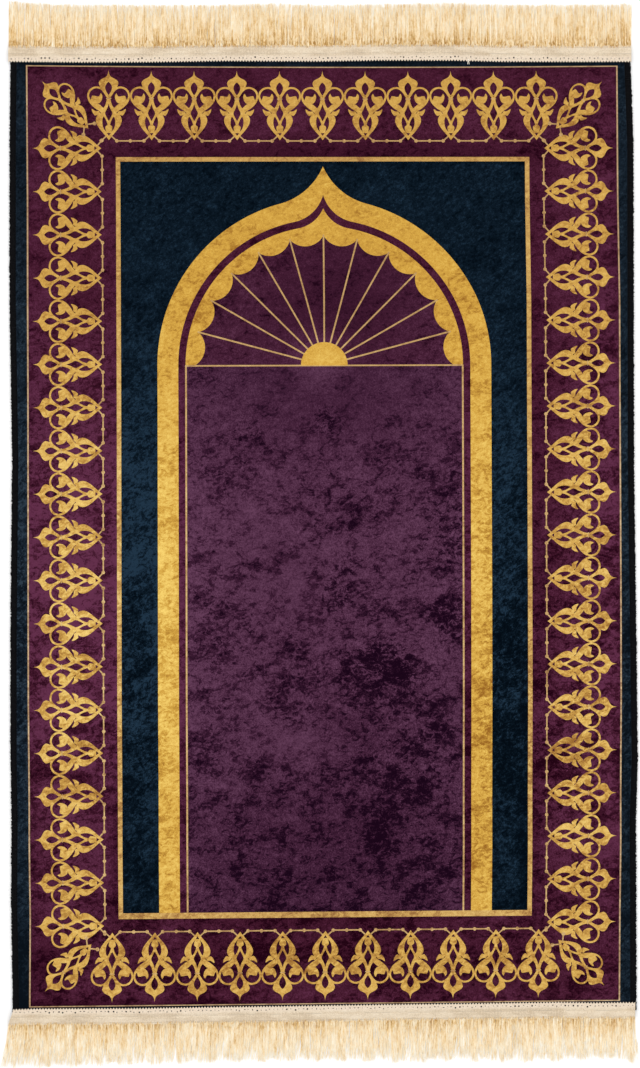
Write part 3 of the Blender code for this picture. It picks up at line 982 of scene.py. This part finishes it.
def fringe_yarn(look, light):
    """Gold-cream filaments in streaks, with painted shadow as darker dashes near the tape.
    """
    tint = change(look.yarn, YARN_COLOUR)
    finish = Finish("fringe_yarn", roughness=0.6, sheen=0.05, specular=0.2, tint=tint)
    root_shadow_depth, level, painted_tip_light = light
    along = finish.attribute("along")
    # painted shade: the yarn is darker at its roots by the tape and lighter towards its
    # tips
    tone = finish.math("MULTIPLY_ADD", along, painted_tip_light, finish.attribute("tone"))
    for finer, size, share in YARN_STREAKS:
        waves = finish.noise(finish.place((1, finer, 1)), size, detail=2, roughness=0.6)
        tone = finish.math("MULTIPLY_ADD", waves, share, tone)
    # painted shadow: darker dashes at the roots, next to the tape
    dash = finish.noise(finish.place((1, 0.28, 1)), 1.5, detail=1)
    rooted = finish.range(along, 0.0, 0.4, 1.0, 0.0)
    root_shadows = finish.math("MULTIPLY", finish.range(dash, 0.52, 0.64, 0, root_shadow_depth), rooted)
    tone = finish.math("SUBTRACT", tone, finish.math("ADD", root_shadows, YARN_MIDDLE - level))
    colour = finish.ramp(
        tone,
        (0.0, (192, 145, 78)), (0.25, (229, 194, 134)), (0.5, YARN_COLOUR),
        (0.8, (250, 237, 210)), (1.0, (254, 247, 232)),
    )
    finish.colour(colour)
    return finish.material


def plain_floor():
    finish = Finish("studio_floor", roughness=0.9, specular=0.0)
    grain = finish.noise(finish.place(), 400)
    finish.colour(finish.ramp(grain, (0, (250, 250, 250)), (1, (252, 252, 252))))
    return finish.material


# ------ pieces


def make_backing():
    """The woven ground of the velvet, with the thin lip inside each overlock."""
    shape = bmesh.new()
    columns, rows = BACKING_GRID
    bmesh.ops.create_grid(shape, x_segments=columns, y_segments=rows, size=1)
    inner = 1 - 2 / columns
    for vertex in shape.verts:
        x, y = vertex.co.x, vertex.co.y
        x = x / inner * PILE_EDGE if abs(x) < 0.99 else math.copysign(LIP_EDGE, x)
        x, y = lay_outline(np.array(x), np.array(y * HALF_LENGTH))
        vertex.co = (float(x), float(y), BACKING_TOP)
    thicken(shape, lambda vertex: 0.0)
    for vertex in shape.verts:
        if vertex.co.z < 0.1 and abs(vertex.co.x) > PILE_EDGE + 2:
            vertex.co.z = LIP_FOOT
    mesh = mesh_of(shape, "rug_backing")
    finish_piece("rug_backing", mesh, backing_cloth(), ["velvet_rug"])


def growing(place, start, distance, most):
    """A value that grows from none at start to its most after this distance."""
    return most * np.clip((place - start) / distance, 0, 1)


def nap_at(x, y):
    """How the pile stands, and how light it reads, at laid places, with the tapes' painted
    shadow.
    """
    nap, shade = np.zeros(len(x)), np.zeros(len(x))
    for at_x, at_y, across, along, stands, light in NAP_PATCHES:
        near = np.exp(-(((x - at_x) / across) ** 2) - ((y - at_y) / along) ** 2)
        nap += stands * near
        shade += light * near
    # the tapes' shadow is painted onto the pile here, darker towards each tape
    return nap, shade - growing(np.abs(y), *PAINTED_TAPE_SHADOW)


def make_pile(look):
    """The printed pile, one piece for each colour, cut where the print's shapes meet."""
    drawing = Print()
    drawing.frame_and_arch()
    flat, triangles, shapes = drawing.arrange(look.grid / MM)
    x, y = lay_print(*flat.T)
    points = np.stack([x, y, np.full(len(x), PILE_TOP)], 1)
    nap, shade = nap_at(x, y)
    colours = np.array([colour for colour, _, _ in drawing.shapes])[shapes]
    zones = np.array([zone for _, zone, _ in drawing.shapes])[shapes]
    for colour, pile in PILES.items():
        name = "pile_" + pile[0]
        deeper = growing(y, *GOLD_SHADE) if colour == GOLD else 0.0
        chosen = colours == colour
        used, corners = np.unique(triangles[chosen], return_inverse=True)
        mesh = bpy.data.meshes.new(name)
        mesh.from_pydata(points[used], [], corners.reshape(-1, 3))
        write_attribute(mesh, "nap", nap[used])
        write_attribute(mesh, "shade", (shade - deeper)[used])
        write_attribute(mesh, "zone", zones[chosen], "FACE")
        shape = bmesh.new()
        shape.from_mesh(mesh)
        thicken(shape, lambda vertex: PILE_FOOT)
        shape.to_mesh(mesh)
        shape.free()
        finish_piece(name, mesh, velvet(look, *pile), ["velvet_rug"])


def make_overlock(side, look):
    """Thread wrapped round a long edge of the cloth, loop by loop."""
    name = "overlock_left" if side < 0 else "overlock_right"
    chance = np.random.default_rng(31 + side)
    pitch = look.wrap_pitch / MM
    reach = HALF_LENGTH - OVERLOCK_GAP
    count = int(2 * reach / pitch)
    y = -reach + pitch * (np.arange(count) + 0.5)
    radius = pitch * THREAD_RADIUS
    top, low = PILE_TOP - radius, radius
    middle = (top + low) / 2
    half = (top - low) / 2
    back = HALF_WIDTH - radius - half
    start, bend = PILE_EDGE + LOOP_START, PILE_EDGE + LOOP_BEND
    path = [(start, top), (bend, top)]
    for turn in np.radians((60, 20, -20, -60)):
        path.append((back + half * math.cos(turn), middle + half * math.sin(turn)))
    path = np.array(path + [(bend, low), (start, low)])
    rings = len(path)
    bumps = 0.2 * np.sin(math.tau * y / 3.5 + 2.5 * np.sin(y / 37))
    out = chance.normal(0.25, 0.28, count).clip(-0.4, 0.9) + bumps
    share = np.clip((path[:, 0] - PILE_EDGE) / (back - PILE_EDGE), 0, 1) ** 3
    x = path[:, 0] + out[:, None] * share
    slant = np.linspace(0.5, -0.5, rings) * pitch * 0.9
    along = y[:, None] + slant + chance.normal(0, 0.12, (count, 1))
    laid = lay_outline(side * x, along)
    centres = np.stack([*laid, np.broadcast_to(path[:, 1], x.shape)], 2)
    radii = np.broadcast_to(radius, (count, rings))
    mesh, _ = strand_mesh(name + "_wraps", 4, centres, radii, (0, 1, 0))
    finish_piece(name + "_wraps", mesh, overlock_thread(look), [name])


def tape_heights(out):
    """Underside and top of the tape, out from its inner edge."""
    slope = np.clip((out - TAPE_LEVEL_END) / (TAPE_WIDTH - TAPE_LEVEL_END), 0, 1)
    return TAPE_FOOT * (1 - slope), TAPE_TOP + (TAPE_LIP - TAPE_TOP) * slope


def tape_holes(chance, left, right, columns):
    """Which columns and rows of the tape's grid are open: an uneven line of holes."""
    pitch = (right - left) / columns
    holes = set()
    for at in np.arange(left + 3.0, right - 2.0, HOLE_PITCH):
        column = int((at + chance.normal(0, 0.4) - left) / pitch)
        wide, tall = HOLE_SIZES[chance.choice(len(HOLE_SIZES), p=HOLE_SHARES)]
        row = HOLE_ROW + int(chance.random() < 0.3)
        holes |= {(column + i, row + j) for i in range(wide) for j in range(tall)}
    return holes


def make_tape(end, look):
    """The woven tape with its edge of small loops and the holes behind them."""
    side, left, right = ENDS[end].side, ENDS[end].left, ENDS[end].right
    name = "tape_" + end
    chance = np.random.default_rng(5 if end == "top" else 6)
    loops = int((right - left) * MM / look.loop_pitch)
    columns = loops * LOOP_COLUMNS
    holes = tape_holes(chance, left, right, columns)
    shape = bmesh.new()
    last_row = len(TAPE_ROWS) - 1
    bmesh.ops.create_grid(shape, x_segments=columns, y_segments=last_row, size=1)
    place = shape.verts.layers.float.new("out")
    open_faces = []
    for face in shape.faces:
        middle = face.calc_center_median()
        column = int((middle.x + 1) / 2 * columns)
        row = int((middle.y + 1) / 2 * last_row)
        if (column, row) in holes:
            open_faces.append(face)
    bmesh.ops.delete(shape, geom=open_faces, context="FACES")
    for vertex in shape.verts:
        share = (vertex.co.x + 1) / 2
        out = TAPE_ROWS[round((vertex.co.y + 1) / 2 * last_row)]
        x = left + (right - left) * share
        wave = math.cos(math.tau * share * loops)
        # the loops ripple, the stitches sink it, and its inner edge bends down
        high = tape_heights(out)[1]
        high += min(max((LOOP_END - out) / 2, 0), 1) * (0.12 * wave - 0.1)
        high -= sum(deep for at, deep in TAPE_STITCHES if abs(out - at) < 0.1)
        if out < 1:
            high -= EDGE_BEND * (1 - out)
        vertex[place] = out
        scallop = -LOOP_DEPTH * (0.1 + 0.5 * wave) * max(1 - out / LOOP_REACH, 0)
        y = side * (inner_edge(end, np.array(x)) + out + scallop)
        vertex.co = (float(flared(end, x, out)), float(y), float(high))
    thicken(shape, lambda vertex: float(tape_heights(vertex[place])[0]))
    mesh = mesh_of(shape, name)
    finish_piece(name, mesh, tape_cloth(look), ["fringe_" + end])


def make_loose_thread(look):
    """A pale wisp that has come loose from the far tape and lies on the margin."""
    share = np.linspace(0, 1, 6)
    spread = np.array([(-0.5, -1.0), (0.1, -0.6), (0.4, 0.5), (0.6, 1.6)])
    x = 165.3 + spread[:, :1] * (1 - share) + spread[:, 1:] * share
    x = x + 0.3 * np.sin(share * 5 + spread[:, :1] * 4)
    y = np.broadcast_to(inner_edge("top", 165.0) + 1.2 - 5.4 * share, x.shape)
    z = np.broadcast_to(np.where(share < 0.25, TAPE_TOP + 0.15, PILE_TOP + 0.25), x.shape)
    radii = 0.24 * np.interp(share, (0, 1), (1.0, 0.5)) * np.ones((len(spread), 1))
    centres = np.stack([x, y, z], 2)
    mesh, _ = strand_mesh("loose_thread", 3, centres, radii, (-1, 0, 0))
    write_attribute(mesh, "along", np.ones(len(mesh.vertices)))
    write_attribute(mesh, "tone", np.full(len(mesh.vertices), 0.5))
    yarn = fringe_yarn(look, LOOSE_YARN)
    finish_piece("loose_thread", mesh, yarn, ["fringe_top"])


def wisps(chance, root, share):
    """How far the filaments of a wisp drift together at each share of their length."""
    drift = 0
    for length in (4.5, 7.0, 11.0, 18.0, 30.0):
        phase, turns = chance.uniform(0, math.tau), chance.uniform(-0.5, 0.5)
        drift = drift + length / 24 * np.sin(
            math.tau * (root / length + turns * share) + phase
        )
    return drift * share**1.3


def make_fringe(end, layer, look):
    """Silky filaments that hang from the tape in loose wisps."""
    side, left, right, _, fringe, _, tousled, yarn = ENDS[end]
    layer_name, low, high, thickness, light = LAYERS[layer]
    name = f"fringe_{end}_{layer_name}"
    together = np.random.default_rng(71 + side)
    chance = np.random.default_rng(100 + 10 * side + layer)
    count = look.filaments
    rings = 7
    share = np.linspace(0, 1, rings)
    root = np.sort(chance.uniform(left + 0.4, right - 0.4, count))[:, None]
    length = read_table(root, fringe, 1) + tousled * wisps(together, root, 1.0) * 0.6
    length = length - chance.exponential(1.3 + 3.0 * tousled, (count, 1)).clip(0, 20)
    lean = read_table(root, fringe, 2) + chance.normal(0, 0.5 + 0.6 * tousled, (count, 1))
    phase = chance.uniform(0, math.tau, (count, 1))
    turns = chance.uniform(1.8, 3.8, (count, 1))
    swing = chance.uniform(0.1, 0.35, (count, 1)) * (0.6 + 0.6 * tousled)
    swing = swing * np.sin(phase + turns * math.tau * share)
    tuck = chance.exponential(STRAND_TUCK, (count, 1)).clip(0.4, 3.2)
    start = TAPE_WIDTH - (tuck if layer else STRAND_TUCK)
    out = start + (FRINGE_FROM + length - start) * share
    x = flared(end, root, out) + lean * share**1.5 + swing * np.minimum(share * 4, 1)
    x = x + tousled * wisps(together, root, share)
    y = side * (inner_edge(end, root) + out)
    height = chance.uniform(low, high, (count, 1))
    z = height * (1 - 0.45 * share) + 0.1 * np.sin(phase * 2 + share * 9)
    z = np.maximum(z, STRAND_FLOOR)
    if layer:
        z = np.where(out < TAPE_WIDTH, tape_heights(out)[1] + STRAND_LIFT, z)
    thick = chance.uniform(0.75, 1.25, (count, 1)) * look.filament_thickness / MM / 2
    radii = thick * thickness * np.interp(share, (0, 0.7, 1), (1.0, 0.8, 0.3))
    sideways = np.zeros((count, 1, 3))
    sideways[:, 0, 0], sideways[:, 0, 2] = side, chance.normal(0, 0.25, count)
    centres = np.stack([x, y, z], 2)
    mesh, ring_of = strand_mesh(name, 3, centres, radii, sideways, STRAND_FLATNESS)
    # the lower layer's lower light is painted shade, as if under the upper layer
    tone = chance.normal(0, 0.1, count) + light
    write_attribute(mesh, "along", np.broadcast_to(share[ring_of], (count, len(ring_of))))
    write_attribute(mesh, "tone", np.repeat(tone, len(ring_of)))
    finish_piece(name, mesh, fringe_yarn(look, yarn), ["fringe_" + end])


# ------ the stage

# The floor: how far it reaches to each side, in metres, and its level
FLOOR_REACH = 6.0
FLOOR_LEVEL = -0.1
# What the view shows: its middle and its height, through this lens and sensor
VIEW_MIDDLE = (-1.4, 1.4)
VIEW_HEIGHT = 1201.5
LENS = 135.0
SENSOR = 36.0
# The softboxes, in metres: their size, each one's place and its share of the power
SOFTBOX_SIZE = 2.5
SOFTBOXES = {
    "softbox_far": ((0.0, 2.6, 3.0), 0.6),
    "softbox_near": ((0.0, -2.6, 3.0), 0.4),
    "softbox_left": ((-2.6, 0.0, 3.0), 0.5),
    "softbox_right": ((2.6, 0.0, 3.0), 0.5),
}


def make_stage(look):
    """The pale floor, the camera straight above, the even fill and the softboxes."""
    scene = bpy.context.scene
    shape = bmesh.new()
    bmesh.ops.create_grid(shape, x_segments=1, y_segments=1, size=FLOOR_REACH)
    for vertex in shape.verts:
        vertex.co.z = FLOOR_LEVEL * MM
    floor = add_object("floor", mesh_of(shape, "floor"))
    floor.data.materials.append(plain_floor())

    camera = bpy.data.cameras.new("camera")
    camera.lens = LENS
    camera.sensor_width = SENSOR
    camera.clip_end = 50
    scene.camera = add_object("camera", camera)
    distance = VIEW_HEIGHT * LENS / SENSOR + PILE_TOP
    scene.camera.location = (VIEW_MIDDLE[0] * MM, VIEW_MIDDLE[1] * MM, distance * MM)

    scene.world = bpy.data.worlds.new("studio")
    scene.world.use_nodes = True
    sky = scene.world.node_tree.nodes["Background"]
    sky.inputs["Color"].default_value = (1, 1, 1, 1)
    sky.inputs["Strength"].default_value = look.fill
    for name, (place, share) in SOFTBOXES.items():
        lamp = bpy.data.lights.new(name, "AREA")
        lamp.size = SOFTBOX_SIZE
        lamp.energy = look.softbox * share
        holder = add_object(name, lamp)
        holder.location = place
        holder.rotation_euler = (-Vector(place)).to_track_quat("-Z", "Y").to_euler()
    scene.view_settings.view_transform = "Standard"
    scene.view_settings.look = "None"


# ------ settings


def colour_setting(name, description, usual):
    """A colour, given here as 0 to 255 on screen."""
    return bpy.props.FloatVectorProperty(
        name=name,
        description=description,
        subtype="COLOR",
        default=linear(*usual),
        min=0.0,
        max=1.0,
    )


def length_setting(name, description, usual, least):
    """A length, given here in millimetres and held in metres."""
    return bpy.props.FloatProperty(
        name=name,
        description=description,
        unit="LENGTH",
        default=usual * MM,
        min=least * MM,
    )


class RugPrintLook(bpy.types.PropertyGroup):
    """Settings of the printed pile"""

    navy: colour_setting(
        "Navy", "Colour of the panels beside the arch and of the margins", NAVY_COLOUR
    )
    purple: colour_setting(
        "Purple", "Colour of the border, the fan and the field", PURPLE_COLOUR
    )
    gold: colour_setting(
        "Gold", "Colour of the arch, the lines and the border's motifs", GOLD_COLOUR
    )
    grid: length_setting(
        "Nap grid", "Spacing of the points that carry the nap's soft patches", 9.0, 3.0
    )


class RugThreadLook(bpy.types.PropertyGroup):
    """Settings of the overlocks, the tapes and the fringes"""

    overlock: colour_setting(
        "Overlock", "Colour of the thread wrapped round the long edges", OVERLOCK_COLOUR
    )
    tape: colour_setting("Tape", "Colour of the woven tapes", TAPE_COLOUR)
    yarn: colour_setting("Yarn", "Colour of the fringe", YARN_COLOUR)
    wrap_pitch: length_setting(
        "Wrap pitch", "Distance between the overlock's loops along the edge", 1.2, 0.8
    )
    loop_pitch: length_setting(
        "Tape loop pitch",
        "Distance between the small loops on the tape's edge",
        3.3,
        1.0,
    )
    filament_thickness: length_setting(
        "Filament thickness", "Thickness of one filament of the fringe", 0.56, 0.1
    )
    filaments: bpy.props.IntProperty(
        name="Filaments",
        description="Filaments in each of the two layers of each fringe",
        default=2300,
        min=100,
    )


class RugStageLook(bpy.types.PropertyGroup):
    """Settings of the lights"""

    fill: bpy.props.FloatProperty(
        name="Fill light",
        description="Strength of the even light from all round",
        default=0.75,
        min=0.0,
    )
    softbox: bpy.props.FloatProperty(
        name="Softbox",
        description="Power of the softbox beyond the rug's far end",
        default=45.0,
        min=0.0,
        unit="POWER",
    )


class RUG_OT_backing(bpy.types.Operator):
    """Add the rug's woven backing"""

    bl_idname = "rug.add_backing"
    bl_label = "Add Backing"

    def execute(self, context):
        make_backing()
        return {"FINISHED"}


class RUG_OT_pile(bpy.types.Operator):
    """Add the printed velvet pile, one piece for each colour of the print"""

    bl_idname = "rug.add_pile"
    bl_label = "Add Printed Pile"

    def execute(self, context):
        make_pile(context.scene.rug_print)
        return {"FINISHED"}


class RUG_OT_overlocks(bpy.types.Operator):
    """Add the thread wrapped round both long edges"""

    bl_idname = "rug.add_overlocks"
    bl_label = "Add Overlocks"

    def execute(self, context):
        for side in (-1, 1):
            make_overlock(side, context.scene.rug_thread)
        return {"FINISHED"}


class RUG_OT_tapes(bpy.types.Operator):
    """Add the woven tape across each end"""

    bl_idname = "rug.add_tapes"
    bl_label = "Add Fringe Tapes"

    def execute(self, context):
        for end in ENDS:
            make_tape(end, context.scene.rug_thread)
        return {"FINISHED"}


class RUG_OT_fringes(bpy.types.Operator):
    """Add the two layers of filaments of each fringe"""

    bl_idname = "rug.add_fringes"
    bl_label = "Add Fringes"

    def execute(self, context):
        for end in ENDS:
            for layer in range(len(LAYERS)):
                make_fringe(end, layer, context.scene.rug_thread)
        make_loose_thread(context.scene.rug_thread)
        return {"FINISHED"}


class RUG_OT_stage(bpy.types.Operator):
    """Add the floor, the camera and the soft lights"""

    bl_idname = "rug.add_stage"
    bl_label = "Add Stage"

    def execute(self, context):
        make_stage(context.scene.rug_stage)
        return {"FINISHED"}


class RUG_OT_declare(bpy.types.Operator):
    """A step that leaves the rug as it is"""

    bl_idname = "rug.declare_cloth"
    bl_label = "Declare Cloth"

    def execute(self, context):
        return {"FINISHED"}


OPERATORS = (
    RUG_OT_stage,
    RUG_OT_backing,
    RUG_OT_pile,
    RUG_OT_overlocks,
    RUG_OT_tapes,
    RUG_OT_fringes,
    RUG_OT_declare,
)


class RUG_PT_panel(bpy.types.Panel):
    """The rug's pieces and their settings"""

    bl_label = "Prayer Rug"
    bl_idname = "RUG_PT_panel"
    bl_space_type = "VIEW_3D"
    bl_region_type = "UI"
    bl_category = "Rug"

    def draw(self, context):
        for group in SETTINGS:
            settings = getattr(context.scene, group)
            for key in settings.__annotations__:
                self.layout.prop(settings, key)
        for operator in OPERATORS:
            self.layout.operator(operator.bl_idname)


SETTINGS = {
    "rug_print": RugPrintLook,
    "rug_thread": RugThreadLook,
    "rug_stage": RugStageLook,
}
CLASSES = (*SETTINGS.values(), *OPERATORS, RUG_PT_panel)


def register():
    for each in CLASSES:
        bpy.utils.register_class(each)
    for name, group in SETTINGS.items():
        setattr(bpy.types.Scene, name, bpy.props.PointerProperty(type=group))


def unregister():
    for name in SETTINGS:
        delattr(bpy.types.Scene, name)
    for each in reversed(CLASSES):
        bpy.utils.unregister_class(each)


def main():
    register()
    for operator in OPERATORS:
        group, name = operator.bl_idname.split(".")
        getattr(getattr(bpy.ops, group), name)()


if __name__ == "__main__":
    main()
